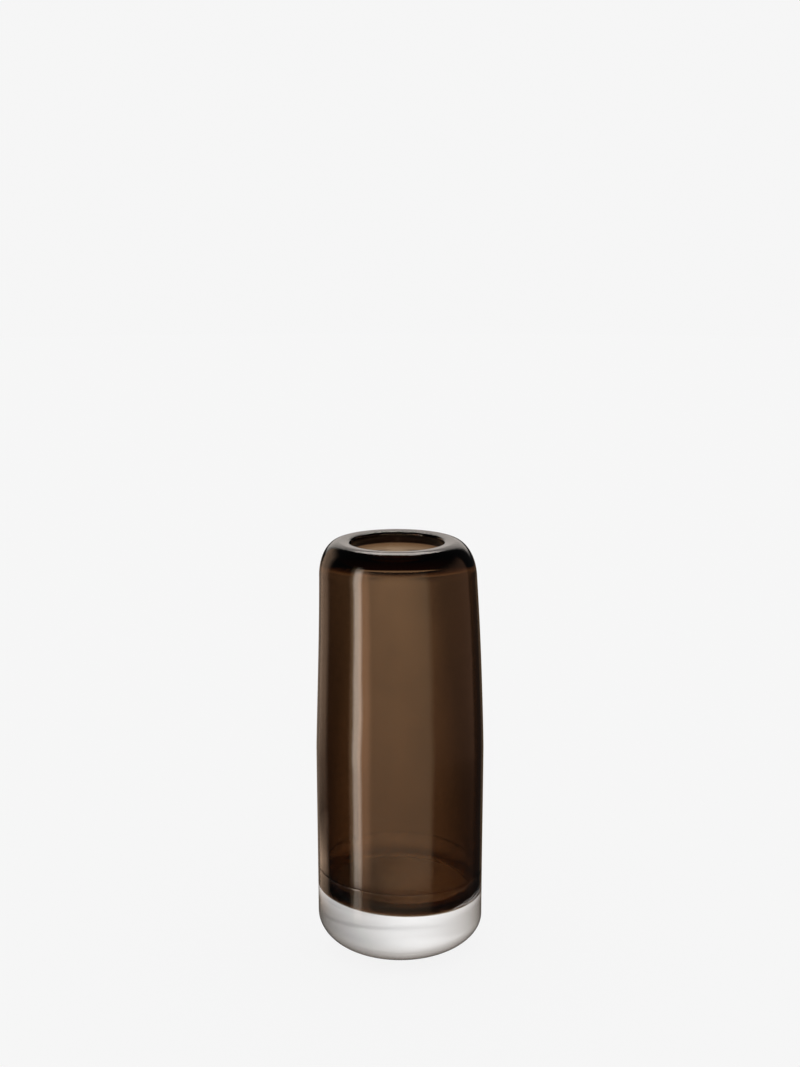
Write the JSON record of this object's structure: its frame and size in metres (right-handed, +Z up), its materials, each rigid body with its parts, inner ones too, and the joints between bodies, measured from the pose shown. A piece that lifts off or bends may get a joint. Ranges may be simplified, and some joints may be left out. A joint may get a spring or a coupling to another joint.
{
  "type": "glass cylinder vase",
  "caption": "Tall blown-glass cylinder vase in smoky brown, with a thick rounded shoulder, a narrowed round mouth and a heavy clear glass foot, for cut flowers in water",
  "frame": {"origin": "centre of the flat face that the vase rests on, which is the centre of the bottom of its box", "axes": "+Z up through the mouth; the neck leans slightly towards -X; the vase is otherwise the same all round"},
  "size_m": [0.12, 0.12, 0.3],
  "materials": {
    "brown_glass": "fire-polished, see-through smoky brown",
    "clear_glass": "fire-polished, colourless"
  },
  "bodies": {
    "root": {"brown_glass_vessel": "brown_glass", "clear_glass_foot": "clear_glass"}
  },
  "joints": []
}
